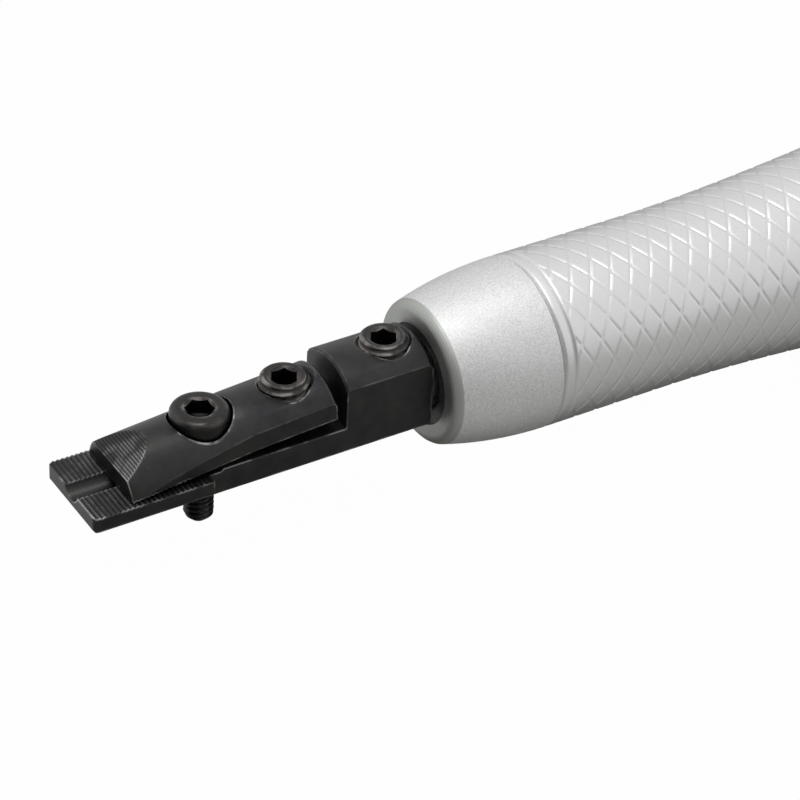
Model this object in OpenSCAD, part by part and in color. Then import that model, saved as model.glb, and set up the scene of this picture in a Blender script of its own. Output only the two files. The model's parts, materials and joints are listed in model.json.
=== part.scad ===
// Pencil grip air file: a round aluminium grip with a reciprocating plunger,
// and on the plunger a two jaw file holder closed by hexagon socket screws.
// The tool axis runs along X, tip towards -X. The origin is the centre of the
// air inlet's mouth. Stations along the axis are measured from the seam between
// the nose and the grip, forwards negative.

/* [Nose] */
// Length of the nose from its flat face to the seam
nose_len = 13.6; // [12:0.1:18]
// Diameter of the nose's flat face, inside the rounded edge
nose_face_d = 15; // [14:0.1:15.4]
// Radius of the rounded edge round the face
nose_edge_r = 1.2; // [1:0.1:2]
// Length of the threaded spigot behind the seam
spigot_len = 10; // [8:0.5:14]
// Wall between the wiper's pocket and the bush's bore
nose_web_t = 1; // [0.8:0.1:2]
// Distance from the spigot's rear end to its rubber ring
nose_ring_inset = 2.3; // [1.8:0.1:3]

/* [Grip] */
// Length of the grip from the seam to its rear end
grip_len = 96; // [94:1:120]
// Diameter of the grip at the seam
grip_front_d = 20.7; // [20.4:0.1:23]
// Growth in radius from the waist to the belly
grip_swell = 3.2; // [2:0.1:4]
// Station where the swell starts
swell_start = 16; // [10:1:25]
// Station of the belly's largest diameter
swell_end = 76; // [60:1:80]
// Diameter of the grip at its rear end
grip_rear_d = 25.2; // [24.6:0.1:26]
// Bore of the grip round the cylinder
grip_bore_d = 17.3; // [16.8:0.1:17.6]
// Bore of the grip's rear mouth
mouth_d = 20; // [19:0.1:21]
// Thickness of the threaded web inside the grip
web_t = 5; // [4:0.5:6]
// Distance from the seam to the ring groove beside it
ring_groove_x = 1.5; // [1.2:0.1:2]
// Depth of the ring groove and of the seam's chamfers
ring_groove_t = 0.3; // [0.2:0.05:0.4]
// Chamfer round the grip's rear end and the exhaust collar
rear_chamfer = 0.6; // [0.3:0.1:0.8]

/* [Plunger and cylinder] */
// Diameter of the plunger rod in its guide bush
rod_d = 8; // [7:0.1:8.6]
// Diameter of the plunger's front shank in the holder
shank_d = 5; // [4:0.1:5.2]
// Diameter of the rod's threaded rear end
rod_end_d = 6; // [5:0.1:6.4]
// Stroke of the plunger
stroke = 6; // [3:0.5:8]
// Bore of the cylinder liner
cylinder_bore = 12; // [11.6:0.1:13]
// Length of the piston
piston_len = 30; // [24:1:32]
// Distance of the first piston ring from the piston's front end
piston_ring_inset = 3; // [2:0.5:4]
// Distance between the two front piston rings
piston_ring_pitch = 4; // [3:0.5:5]
// Distance of the rear piston ring from the piston's rear end
piston_ring_end = 7; // [6:0.5:8]
// Outside diameter of the guide bush
bush_d = 12.6; // [12:0.1:13]
// Thickness of the guide bush's flange
bush_flange_t = 2; // [1.5:0.1:3]
// Thickness of each rubber bumper
bumper_t = 2.5; // [1.5:0.1:3]
// Length of the cylinder head's plug in the liner
head_plug_len = 6; // [4:0.5:8]
// Thickness of the cylinder head's flange
head_flange_t = 3; // [2:0.5:4]
// Outside diameter of the wiper seal
wiper_d = 12.2; // [11.6:0.1:12.6]
// Thickness of the wiper seal
wiper_t = 2.6; // [2:0.1:3]
// Diameter of the exhaust ports in the liner
liner_port_d = 2; // [1.5:0.1:2.4]
// Width of the exhaust channels along the liner
channel_w = 2.6; // [2:0.1:3]
// Depth of the exhaust channels
channel_t = 0.8; // [0.5:0.1:1]
// Distance of the liner's rubber rings from its front end and its ports
liner_ring_inset = 4; // [3:0.5:6]
// Radius of every rubber ring's section
o_ring_r = 0.8; // [0.6:0.05:0.8]
// Width across flats of the nut on the rod's rear end
piston_nut_hex = 8.4; // [8:0.1:8.6]
// Thickness of the nut on the rod's rear end
piston_nut_t = 3; // [2:0.1:4]

/* [Throttle and inlet] */
// Thickness of the stem's front flange
stem_flange_t = 3; // [2:0.5:4]
// Diameter of the stem's threaded collar in the grip's web
stem_collar_d = 12.8; // [12.4:0.1:13]
// Diameter of the stem between its collars
stem_neck_d = 10; // [9:0.1:10.6]
// Diameter of the stem under the throttle ring
journal_d = 12; // [11.6:0.1:12.4]
// Diameter of the air passage through the stem
passage_d = 5; // [4:0.1:6]
// Room for exhaust air behind the stem's flange
exhaust_room = 6; // [4:0.5:8]
// Length of the slotted exhaust collar outside the grip
collar_len = 5.5; // [5:0.1:8]
// Number of exhaust slots
slot_count = 12; // [8:1:14]
// Width of each exhaust slot
slot_w = 2; // [1.5:0.1:2.4]
// Length of the exhaust slots along the axis
slot_len = 2.8; // [2:0.1:3]
// Length of the throttle ring
ring_len = 11; // [10.5:0.5:14]
// How far the throttle ring stands out from the exhaust collar
ring_step = 0.2; // [0:0.1:0.5]
// Number of grip flutes round the throttle ring
flute_count = 18; // [12:1:20]
// Angle that the throttle ring turns through
throttle_turn = 60; // [30:5:90]
// Thickness of the washer behind the throttle ring
washer_t = 0.8; // [0.5:0.1:1.2]
// Width across flats of the inlet bush
inlet_hex = 17; // [16:0.5:19]
// Radius of the inlet thread's minor diameter
inlet_r = 5.72; // [5:0.01:5.8]
// Depth of the inlet thread
inlet_depth = 10; // [9:0.5:14]
// Length of the inlet bush over the stem's thread
inlet_grip_len = 5; // [4:0.5:8]
// Thickness of the inlet strainer
strainer_t = 1.2; // [0.8:0.1:1.6]
// Diameter of the radial air ports in the stem
port_d = 2.6; // [2:0.1:3]
// Distance of the air ports from the throttle ring's ends
port_inset = 3.6; // [3.4:0.1:4]
// Distance of the stem's rubber rings from the throttle ring's ends
stem_ring_inset = 1.1; // [1:0.1:1.3]
// Length of the exhaust collar inside the grip's mouth
collar_spigot_len = 5; // [3:0.5:7]
// Radius of the pin that stops the throttle ring
stop_pin_r = 0.75; // [0.5:0.05:0.9]
// Depth of the stop pin in the exhaust collar and in the throttle ring
stop_pin_len = 2; // [1.5:0.1:2.4]

/* [File holder] */
// Gap from the nose's face to the holder, plunger back
holder_gap = 0.7; // [0.6:0.1:2]
// Length of the holder's round rear block
block_len = 11.2; // [10:0.1:14]
// Diameter of the holder's bar
holder_d = 12.8; // [12.6:0.1:14]
// Width across the holder's side flats
flats_w = 9.1; // [8.8:0.1:9.4]
// Depth of the flat underside below the axis
bottom_depth = 3.8; // [3.6:0.1:4]
// Width of the serrated front plate
plate_w = 11.5; // [11:0.1:11.8]
// Depth of the serrated seat below the axis
seat_depth = 0.95; // [0.9:0.05:1.2]
// Depth of the raised seat behind the step below the axis
raised_depth = 0.65; // [0.4:0.05:0.7]
// Chamfer along the plate's lower edges, front and sides
plate_chamfer = 1.1; // [0.8:0.1:1.4]
// Length of the round bar in front of the step
bar_lap = 1.4; // [1:0.1:2]
// Radius of the plate's front corners
plate_corner_r = 0.7; // [0.5:0.1:1.2]
// Length of the lower jaw in front of the block
lower_jaw_len = 32; // [31:0.1:36]
// Chamfer round the block's front face
block_edge = 0.25; // [0.1:0.05:0.5]
// Depth of the countersinks round the set screws
sink_t = 0.4; // [0.2:0.05:0.6]
// Width of the lengthwise groove for round files
file_groove_w = 3; // [2:0.1:3.4]
// Depth of the groove for round files
file_groove_t = 1.1; // [0.6:0.1:1.2]
// Length of the groove for round files
file_groove_len = 12.5; // [8:0.5:12.5]
// Pitch of the teeth across the seat
tooth_pitch = 0.58; // [0.5:0.02:0.8]
// Depth of the teeth across the seat
tooth_t = 0.14; // [0.1:0.01:0.25]
// Distance from the shoulder to the plunger shank's front end
shank_inset = 1.2; // [1:0.1:2]

/* [Upper jaw] */
// Gap between the block and the upper jaw
jaw_gap = 1; // [0.8:0.1:1.5]
// Length of the upper jaw
upper_jaw_len = 26.1; // [25:0.1:27]
// Length of the upper jaw's parallel rear part
jaw_straight_len = 10.5; // [9:0.5:12]
// Diameter of the upper jaw's rear part
jaw_d = 11.2; // [11:0.1:11.4]
// Diameter of the upper jaw's cone at its front
jaw_tip_d = 10.7; // [10.4:0.1:10.9]
// Depth of the upper jaw's round axis below the tool axis
jaw_drop = 2.05; // [1.9:0.05:2.2]
// Tilt of the upper jaw in degrees, its rear end raised by the jack screw
jaw_tilt = 4; // [3:0.5:4.5]
// Width across the upper jaw's rear flats
jaw_flats_w = 8.8; // [8.6:0.1:9]
// Height of the nose facet's front edge above the axis
facet_z = 1.5; // [1.3:0.05:1.7]
// Slope of the nose facet against the upper jaw in degrees
facet_angle = 24; // [20:0.5:28]
// Pitch of the fine teeth across the nose facet
facet_pitch = 0.36; // [0.3:0.02:0.6]
// Depth of the fine teeth across the nose facet
facet_tooth_t = 0.1; // [0.05:0.01:0.15]

/* [Screws] */
// Thread diameter of the clamp screw
clamp_d = 3.6; // [3.4:0.1:4]
// Head diameter of the clamp screw
clamp_head_d = 6.8; // [6.4:0.1:7]
// Head height of the clamp screw
clamp_head_h = 3.9; // [3.6:0.1:4]
// Length of the clamp screw under its head
clamp_len = 11.9; // [10:0.1:14]
// Distance from the upper jaw's rear face to the clamp screw
clamp_x = 15.2; // [14.6:0.1:15.6]
// Height of the clamp screw's seat above the axis
clamp_seat_z = 1.05; // [0.9:0.05:1.2]
// Width across flats of the clamp screw's socket
clamp_hex = 3; // [2.5:0.1:3]
// Angle that the clamp screw's socket is turned to in degrees
clamp_turned = 30; // [0:5:60]
// Radius of the round edge on the clamp screw's head
clamp_edge_r = 0.7; // [0.3:0.1:0.9]
// Chamfer at the clamp screw's end
clamp_end_chamfer = 0.6; // [0.3:0.1:0.8]
// Thread diameter of both set screws
set_d = 5.9; // [5:0.1:6]
// Width across flats of the set screws' sockets
set_hex = 2.7; // [2.4:0.1:3]
// Depth of the set screws' sockets
set_socket_t = 2.4; // [1.5:0.1:2.6]
// Chamfer at both ends of the set screws
set_chamfer = 0.6; // [0.3:0.1:0.8]
// Height of the jack screw's top above the axis
jack_top_z = 5.7; // [5.4:0.1:6]
// Distance from the upper jaw's rear face to the jack screw
jack_x = 4.6; // [4.2:0.1:5]
// Height of the shank screw's top above the axis
shank_screw_top_z = 6.85; // [6.6:0.05:7]
// Distance from the holder's rear end to the shank screw
shank_screw_x = 4; // [3.2:0.1:4]
// Depth of the flat on the shank under the shank screw
shank_flat_t = 0.5; // [0.3:0.05:0.8]

/* [Clearances] */
// Radial running clearance of rod, piston and throttle ring
run_gap = 0.04; // [0.02:0.01:0.1]
// Radial clearance of screws in their threads
thread_gap = 0.05; // [0.02:0.01:0.1]
// Clearance of a free end from its stop
stop_gap = 0.3; // [0.2:0.05:0.5]
// Clearance between faces that nearly touch
face_gap = 0.1; // [0.05:0.01:0.2]
// Clearance of a screw's end or head from the face it bears on
seat_gap = 0.02; // [0.01:0.01:0.05]

/* [Hidden] */
$fn = 96;
// Overshoot of a cutting solid past the face it cuts
cut = 1;
// Ends of the fitted parts in the grip, front to rear
bush_flange_x = spigot_len;
liner_x = bush_flange_x + bush_flange_t;
piston_x = liner_x + bumper_t + stop_gap + stroke;
piston_end_x = piston_x + piston_len;
rear_bumper_x = piston_end_x + stop_gap;
head_x = rear_bumper_x + bumper_t;
liner_end_x = head_x + head_plug_len;
head_end_x = liner_end_x + head_flange_t;
stem_flange_end_x = head_end_x + stem_flange_t;
web_x = stem_flange_end_x + exhaust_room;
web_end_x = web_x + web_t;
silencer_end_x = grip_len - collar_spigot_len;
collar_end_x = grip_len + collar_len;
ring_x = collar_end_x + face_gap;
ring_end_x = ring_x + ring_len;
washer_x = ring_end_x + face_gap;
inlet_bush_x = washer_x + washer_t;
strainer_x = inlet_bush_x + inlet_grip_len;
inlet_x = strainer_x + strainer_t + inlet_depth;
// Stations of the file holder, rear to front
holder_x = -nose_len - holder_gap;
shoulder_x = holder_x - block_len;
jaw_rear_x = shoulder_x - jaw_gap;
jaw_front_x = jaw_rear_x - upper_jaw_len;
tip_x = shoulder_x - lower_jaw_len;
clamp_at = jaw_rear_x - clamp_x;
jack_at = jaw_rear_x - jack_x;
shank_screw_at = holder_x - shank_screw_x;
step_x = clamp_at + stop_gap;
step_rise = seat_depth - raised_depth;
plate_end_x = step_x - bar_lap;
// Radii and heights worked out from the sizes above
nose_r = grip_front_d / 2;
bush_r = bush_d / 2;
bore_r = grip_bore_d / 2;
fit_r = bore_r - run_gap;
mouth_r = mouth_d / 2;
journal_r = journal_d / 2;
ring_bore_r = journal_r + run_gap;
ring_r = grip_rear_d / 2 + ring_step;
holder_r = holder_d / 2;
shank_r = shank_d / 2;
rod_r = rod_d / 2;
piston_r = cylinder_bore / 2 - run_gap;
set_r = set_d / 2;
jaw_low_z = face_gap - seat_depth;
wiper_x = -nose_len + stop_gap;
bush_x = wiper_x + wiper_t + nose_web_t;
spigot_r = bore_r - thread_gap;
nose_o_ring_x = spigot_len - nose_ring_inset;
silencer_r = mouth_r - face_gap;
collar_slot_x = grip_len + (collar_len - slot_len) / 2;
stop_pin_orbit = (journal_r + ring_r) / 2;
rear_port_x = ring_end_x - port_inset;
front_port_x = ring_x + port_inset;
liner_port_x = (piston_x + piston_end_x) / 2;
nut_x = piston_end_x - piston_nut_t - stop_gap;
shank_x = shoulder_x + shank_inset;
// Share of a tooth's pitch from the middle of a V to its edge
tooth_half = 0.36;
// Width of a rubber ring's groove over the ring
ring_room = 0.1;
// Half width and depth of the piston's rings
ring_half = 0.78;
piston_ring_t = 1;
// How much thinner the rings of liner and stem are than their grooves
ring_slack = 0.02;

// Distance of the grip's surface from the axis at a station
function grip_r(x) =
    x < swell_start ? nose_r :
    x < swell_end ? nose_r
        + grip_swell * (1 - cos(180 * (x - swell_start) / (swell_end - swell_start))) / 2 :
    grip_rear_d / 2 + (nose_r + grip_swell - grip_rear_d / 2)
        * (1 + cos(180 * (x - swell_end) / (grip_len - swell_end))) / 2;

// Point of a quadratic curve through three control points
function curve_point(a, b, c, t) = (1 - t) * (1 - t) * a + 2 * t * (1 - t) * b + t * t * c;

// Puts its children in stations measured from the seam
module from_seam() {
    translate([-inlet_x, 0, 0]) children();
}

// Revolves a profile of [station, radius] points about the tool axis
module turned(profile) {
    rotate([0, 90, 0]) rotate([0, 0, 90]) rotate_extrude() polygon([for (p = profile) [p[1], p[0]]]);
}

// Cylinder along the tool axis from one station to another
module rod(x1, x2, r) {
    translate([x1, 0, 0]) rotate([0, 90, 0]) cylinder(r = r, h = x2 - x1);
}

// Ring along the tool axis from one station to another
module tube(x1, x2, outer_r, inner_r) {
    difference() {
        rod(x1, x2, outer_r);
        rod(x1 - cut, x2 + cut, inner_r);
    }
}

// Rubber ring of round section about the tool axis
module o_ring(x, centre_r, section_r) {
    translate([x, 0, 0]) rotate([0, 90, 0]) rotate_extrude() translate([centre_r, 0])
        circle(r = section_r, $fn = 32);
}

// Cut for a rubber ring in a round part, reaching the ring's inner radius
module ring_groove(x, part_r) {
    half = o_ring_r + ring_room;
    tube(x - half, x + half, part_r + cut, part_r - 2 * o_ring_r);
}

// Hexagonal prism standing on the plane z = 0, corners along X
module hexagon(across_flats, h) {
    cylinder(d = across_flats / cos(30), h = h, $fn = 6);
}

// Copies of its children turned about the tool axis
module round_axis(count) {
    for (i = [0 : count - 1]) rotate([i * 360 / count, 0, 0]) children();
}

module nose_cone() {
    edge_x = -nose_len + nose_edge_r;
    edge_y = nose_face_d / 2;
    edge_end = 100;
    start = [edge_x + nose_edge_r * cos(edge_end), edge_y + nose_edge_r * sin(edge_end)];
    bend = [-nose_len / 2, nose_r - ring_groove_t / 4];
    end = [-ring_groove_t, nose_r];
    color("silver") from_seam() difference() {
        turned(concat(
            [[spigot_len, 0], [-nose_len, 0]],
            [for (a = [180 : -16 : edge_end])
                [edge_x + nose_edge_r * cos(a), edge_y + nose_edge_r * sin(a)]],
            [for (i = [1 : 10]) curve_point(start, bend, end, i / 10)],
            [[0, nose_r - ring_groove_t], [0, spigot_r], [spigot_len, spigot_r]]));
        rod(-nose_len - cut, wiper_x + wiper_t, wiper_d / 2);
        rod(wiper_x, bush_x + cut, rod_r + stop_gap);
        rod(bush_x, spigot_len + cut, bush_r);
        ring_groove(nose_o_ring_x, spigot_r);
    }
}

module wiper_seal() {
    lip = 0.5;
    color("#141414") from_seam() turned([
        [wiper_x, rod_r + run_gap + lip], [wiper_x, wiper_d / 2], [wiper_x + wiper_t, wiper_d / 2],
        [wiper_x + wiper_t, rod_r + run_gap], [wiper_x + lip, rod_r + run_gap]]);
}

module guide_bush() {
    color("#b08d57") from_seam() turned([
        [bush_x, rod_r + run_gap], [liner_x, rod_r + run_gap], [liner_x, fit_r],
        [bush_flange_x, fit_r], [bush_flange_x, bush_r], [bush_x, bush_r]]);
}

module nose_o_ring() {
    color("#202020") from_seam() o_ring(nose_o_ring_x, bore_r - o_ring_r, o_ring_r);
}

module grip() {
    steps = 40;
    vent_orbit = (stem_collar_d / 2 + bore_r) / 2;
    vent_r = (bore_r - stem_collar_d / 2) * 0.4;
    vent_count = 6;
    color("silver") from_seam() difference() {
        turned(concat(
            [[grip_len, 0], [0, 0], [0, nose_r - ring_groove_t], [ring_groove_t, nose_r]],
            [[ring_groove_x - ring_groove_t, nose_r], [ring_groove_x, nose_r - ring_groove_t],
             [ring_groove_x + ring_groove_t, nose_r]],
            [for (i = [0 : steps])
                let (x = swell_start + (grip_len - rear_chamfer - swell_start) * i / steps) [x, grip_r(x)]],
            [[grip_len, grip_rear_d / 2 - rear_chamfer]]));
        rod(-cut, web_x, bore_r);
        rod(web_x - cut, web_end_x + cut, stem_collar_d / 2);
        rod(web_end_x, grip_len + cut, mouth_r);
        round_axis(vent_count) translate([0, 0, vent_orbit]) rod(web_x - cut, web_end_x + cut, vent_r);
    }
}

module front_bumper() {
    color("#803020") from_seam() tube(liner_x, liner_x + bumper_t, piston_r, rod_r + stop_gap);
}

module rear_bumper() {
    color("#803020") from_seam() tube(rear_bumper_x, head_x, piston_r, passage_d / 2);
}

// Stations of the liner's two rubber rings
function liner_ring_stations() = [liner_x + liner_ring_inset, liner_port_x - liner_ring_inset];

module cylinder_liner() {
    color("#9a9da2") from_seam() difference() {
        tube(liner_x, liner_end_x, fit_r, cylinder_bore / 2);
        round_axis(4) {
            translate([liner_port_x, 0, 0]) cylinder(d = liner_port_d, h = bore_r + cut);
            translate([liner_port_x - channel_w / 2, -channel_w / 2, fit_r - channel_t])
                cube([liner_end_x - liner_port_x + channel_w / 2 + cut, channel_w, channel_t + cut]);
        }
        for (x = liner_ring_stations()) ring_groove(x, fit_r);
    }
}

module liner_o_rings() {
    color("#202020") from_seam() for (x = liner_ring_stations())
        o_ring(x, bore_r - o_ring_r, o_ring_r - ring_slack);
}

// Notches for the exhaust air round a flange
module exhaust_notches(x1, x2) {
    round_axis(4) translate([x1 - cut, -channel_w / 2, fit_r - channel_t])
        cube([x2 - x1 + 2 * cut, channel_w, channel_t + cut]);
}

module cylinder_head() {
    color("#8c8f94") from_seam() difference() {
        turned([[head_x, passage_d / 2], [head_end_x, passage_d / 2], [head_end_x, fit_r],
                [liner_end_x, fit_r], [liner_end_x, piston_r], [head_x, piston_r]]);
        exhaust_notches(liner_end_x, head_end_x);
        dowel();
    }
}

// Pin across the joint of cylinder head and stem, beside the air passage
module dowel() {
    dowel_half = 2;
    dowel_r = 0.8;
    translate([0, 0, -(passage_d / 2 + fit_r) / 2])
        rod(head_end_x - dowel_half, head_end_x + dowel_half, dowel_r);
}

module dowel_pin() {
    color("#c0c0c0") from_seam() dowel();
}

// Stations of the stem's two rubber rings
function stem_ring_stations() = [ring_x + stem_ring_inset, ring_end_x - stem_ring_inset];

module throttle_stem() {
    color("#70757a") from_seam() difference() {
        union() {
            rod(head_end_x, stem_flange_end_x, fit_r);
            rod(stem_flange_end_x - cut, grip_len, stem_neck_d / 2);
            rod(web_x, web_end_x, stem_collar_d / 2);
            rod(grip_len - cut, strainer_x, journal_r);
        }
        rod(head_end_x - cut, front_port_x + port_d / 2, passage_d / 2);
        rod(rear_port_x - port_d / 2, strainer_x + cut, passage_d / 2);
        for (x = [front_port_x, rear_port_x]) translate([x, 0, 0])
            cylinder(d = port_d, h = journal_r + cut);
        for (x = stem_ring_stations()) ring_groove(x, journal_r);
        exhaust_notches(head_end_x, stem_flange_end_x);
        dowel();
    }
}

module stem_o_rings() {
    color("#202020") from_seam() for (x = stem_ring_stations())
        o_ring(x, journal_r - o_ring_r, o_ring_r - ring_slack);
}

module silencer() {
    color("#d8d2c0") from_seam()
        tube(web_end_x + stop_gap, silencer_end_x, silencer_r, stem_neck_d / 2 + face_gap);
}

module exhaust_collar() {
    collar_r = grip_rear_d / 2;
    wall = 1.6;
    color("#303234") from_seam() difference() {
        union() {
            rod(silencer_end_x, grip_len + cut, mouth_r);
            turned([[grip_len, 0], [grip_len, collar_r - rear_chamfer], [grip_len + rear_chamfer, collar_r],
                    [collar_end_x - rear_chamfer, collar_r], [collar_end_x, collar_r - rear_chamfer],
                    [collar_end_x, 0]]);
        }
        rod(grip_len - cut, collar_end_x + cut, journal_r);
        rod(silencer_end_x - cut, collar_slot_x + slot_len, mouth_r - wall);
        round_axis(slot_count) translate([collar_slot_x, -slot_w / 2, mouth_r - wall - cut])
            cube([slot_len, slot_w, collar_r]);
        stop_pin_body();
    }
}

// Pin parallel to the tool axis, from the exhaust collar into the throttle ring
module stop_pin_body() {
    seat = (collar_len - slot_len) / 2 - face_gap;
    translate([0, 0, stop_pin_orbit]) rod(collar_end_x - seat, ring_x + stop_pin_len, stop_pin_r);
}

module stop_pin() {
    color("#c0c0c0") from_seam() stop_pin_body();
}

// Sector of a disc about the tool axis, from angle a1 to a2 measured from +Z towards +Y
module sector(x1, x2, outer_r, inner_r, a1, a2) {
    steps = 8;
    reach = outer_r * 1.5;
    intersection() {
        tube(x1, x2, outer_r, inner_r);
        translate([x1 - cut, 0, 0]) rotate([0, 90, 0]) rotate([0, 0, 180])
            linear_extrude(x2 - x1 + 2 * cut)
                polygon(concat([[0, 0]], [for (i = [0 : steps]) let (a = a1 + (a2 - a1) * i / steps)
                    [reach * cos(a), -reach * sin(a)]]));
    }
}

module throttle_ring() {
    slot_half = stop_pin_r + 2 * face_gap;
    flute_r = 1.6;
    flute_t = 0.48;
    chamfer = 0.8;
    pocket_half = 12;
    pocket_t = 1.4;
    pin_half = asin(slot_half / stop_pin_orbit);
    color("#3a3d40") from_seam() difference() {
        turned([[ring_x, ring_bore_r], [ring_x, ring_r - chamfer], [ring_x + chamfer, ring_r],
                [ring_end_x - chamfer, ring_r], [ring_end_x, ring_r - chamfer], [ring_end_x, ring_bore_r]]);
        sector(ring_x - cut, ring_x + stop_pin_len + stop_gap, stop_pin_orbit + slot_half,
            stop_pin_orbit - slot_half, -pin_half, throttle_turn + pin_half);
        sector(front_port_x - port_d / 2, rear_port_x + port_d / 2, journal_r + pocket_t, journal_r - cut,
            throttle_turn - pocket_half, throttle_turn + pocket_half);
        round_axis(flute_count) translate([0, 0, ring_r + flute_r - flute_t])
            rod(ring_x - cut, ring_end_x + cut, flute_r);
    }
}

module thrust_washer() {
    color("#b08d57") from_seam() tube(washer_x, inlet_bush_x, inlet_hex / 2, journal_r + face_gap);
}

module inlet_bush() {
    corner_trim = 0.13;
    corner_r = inlet_hex / cos(30) / 2 - corner_trim;
    chamfer = 1;
    color("#a8abb0") from_seam() difference() {
        intersection() {
            translate([inlet_bush_x, 0, 0]) rotate([0, 90, 0]) hexagon(inlet_hex, inlet_x - inlet_bush_x);
            turned([[inlet_bush_x, 0], [inlet_bush_x, inlet_hex / 2], [inlet_bush_x + chamfer, corner_r],
                    [inlet_x - chamfer, corner_r], [inlet_x, inlet_hex / 2], [inlet_x, 0]]);
        }
        rod(inlet_bush_x - cut, strainer_x + strainer_t, journal_r);
        rod(strainer_x, inlet_x + cut, inlet_r);
    }
}

module inlet_strainer() {
    hole_r = 0.45;
    hole_orbit = 1.8;
    hole_count = 6;
    color("#c8b878") from_seam() difference() {
        rod(strainer_x, strainer_x + strainer_t, journal_r);
        rod(strainer_x - cut, strainer_x + strainer_t + cut, hole_r);
        round_axis(hole_count) translate([0, 0, hole_orbit])
            rod(strainer_x - cut, strainer_x + strainer_t + cut, hole_r);
    }
}

module plunger_rod() {
    chamfer = 0.4;
    color("#8a8d92") from_seam() difference() {
        turned([[shank_x, 0], [shank_x, shank_r - chamfer], [shank_x + chamfer, shank_r],
                [holder_x, shank_r], [holder_x, rod_r], [piston_x, rod_r], [piston_x, rod_end_d / 2],
                [piston_end_x - chamfer, rod_end_d / 2], [piston_end_x - chamfer, 0]]);
        translate([shank_screw_at - set_r, -shank_r, shank_r - shank_flat_t])
            cube([2 * set_r, shank_d, cut]);
    }
}

module piston() {
    waist_t = 0.8;
    waist_half = 4.2;
    nut_r = piston_nut_hex / cos(30) / 2 + face_gap;
    room = ring_half + ring_slack;
    color("#b9bcc0") from_seam() difference() {
        rod(piston_x, piston_end_x, piston_r);
        rod(piston_x - cut, piston_end_x + cut, rod_end_d / 2);
        rod(nut_x, piston_end_x + cut, nut_r);
        tube(liner_port_x - waist_half, liner_port_x + waist_half, piston_r + cut, piston_r - waist_t);
        for (x = piston_ring_stations())
            tube(x - room, x + room, piston_r + cut, piston_r - piston_ring_t);
    }
}

// Stations of the piston's three rings
function piston_ring_stations() = let (first = piston_x + piston_ring_inset)
    [first, first + piston_ring_pitch, piston_end_x - piston_ring_end];

module piston_rings() {
    color("#606468") from_seam() for (x = piston_ring_stations())
        tube(x - ring_half, x + ring_half, piston_r, piston_r - piston_ring_t);
}

module piston_nut() {
    color("#909498") from_seam() difference() {
        translate([nut_x, 0, 0]) rotate([0, 90, 0]) hexagon(piston_nut_hex, piston_nut_t);
        rod(piston_x, piston_end_x, rod_end_d / 2);
    }
}

// Points of V shaped teeth cut to the left of the straight way from p to q
function toothed(p, q, pitch, depth) = let (
    way = (q - p) / norm(q - p),
    left = [-way[1], way[0]],
    count = floor(norm(q - p) / pitch),
    margin = (norm(q - p) - count * pitch) / 2)
    [for (i = [0 : count - 1]) for (k = [-1, 0, 1])
        p + way * (margin + (i + 0.5 + k * tooth_half) * pitch) + left * (k == 0 ? depth : 0)];

// Side view of the holder body: block, raised seat, sloping step and serrated seat
module holder_side() {
    polygon(concat(
        [[tip_x, plate_chamfer - bottom_depth], [tip_x + plate_chamfer, -bottom_depth],
         [holder_x, -bottom_depth], [holder_x, holder_r], [shoulder_x, holder_r],
         [shoulder_x, -raised_depth], [step_x + step_rise, -raised_depth], [step_x, -seat_depth]],
        toothed([plate_end_x, -seat_depth], [tip_x, -seat_depth], tooth_pitch, tooth_t),
        [[tip_x, -seat_depth]]));
}

// Square corner left over by a rounded edge, for the plate's front corners
module corner_cut() {
    difference() {
        translate([-cut, -cut]) square(plate_corner_r + cut);
        translate([plate_corner_r, plate_corner_r]) circle(r = plate_corner_r);
    }
}

// Round bar of the holder with its side flats, from the block to the plate
module holder_bar() {
    edge = 0.5;
    intersection() {
        turned([[plate_end_x, 0], [plate_end_x, holder_r], [holder_x - edge, holder_r],
                [holder_x, holder_r - edge], [holder_x, 0]]);
        translate([plate_end_x, -flats_w / 2, -bottom_depth])
            cube([holder_x - plate_end_x, flats_w, bottom_depth + holder_r]);
    }
}

// Wide front plate with chamfered lower edges
module holder_plate() {
    half = plate_w / 2;
    translate([tip_x, 0, 0]) rotate([90, 0, 90]) linear_extrude(plate_end_x - tip_x)
        polygon([[plate_chamfer - half, -bottom_depth], [half - plate_chamfer, -bottom_depth],
            [half, plate_chamfer - bottom_depth], [half, 0], [-half, 0],
            [-half, plate_chamfer - bottom_depth]]);
}

// Cut that chamfers the round front edge of the block
module block_edge_cut() {
    over = block_edge / 2;
    turned([[shoulder_x - over, holder_r - block_edge - over], [shoulder_x - over, holder_r + over],
            [shoulder_x + block_edge + over, holder_r + over]]);
}

// Threaded hole along Z with a countersink at the height of the crown it opens in
module tapped_hole(x, crown_z) {
    hole_r = set_r + thread_gap;
    translate([x, 0, 0]) cylinder(r = hole_r, h = crown_z + cut);
    translate([x, 0, crown_z - sink_t]) cylinder(r1 = hole_r, r2 = hole_r + sink_t + cut, h = sink_t + cut);
}

module holder_body() {
    groove_r = (file_groove_w * file_groove_w / 4 + file_groove_t * file_groove_t) / (2 * file_groove_t);
    color("#26282a") from_seam() difference() {
        intersection() {
            translate([0, plate_w / 2, 0]) rotate([90, 0, 0]) linear_extrude(plate_w) holder_side();
            union() {
                holder_bar();
                holder_plate();
            }
        }
        for (side = [0, 1]) mirror([0, side, 0]) translate([tip_x, -plate_w / 2, -bottom_depth - cut])
            linear_extrude(bottom_depth + cut) corner_cut();
        translate([0, 0, groove_r - seat_depth - file_groove_t])
            rod(tip_x - cut, tip_x + file_groove_len, groove_r);
        translate([clamp_at, 0, -bottom_depth - cut])
            cylinder(r = clamp_d / 2 + thread_gap, h = bottom_depth + cut);
        rod(shank_x - stop_gap, holder_x + cut, shank_r);
        tapped_hole(shank_screw_at, holder_r);
        block_edge_cut();
    }
}

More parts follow.
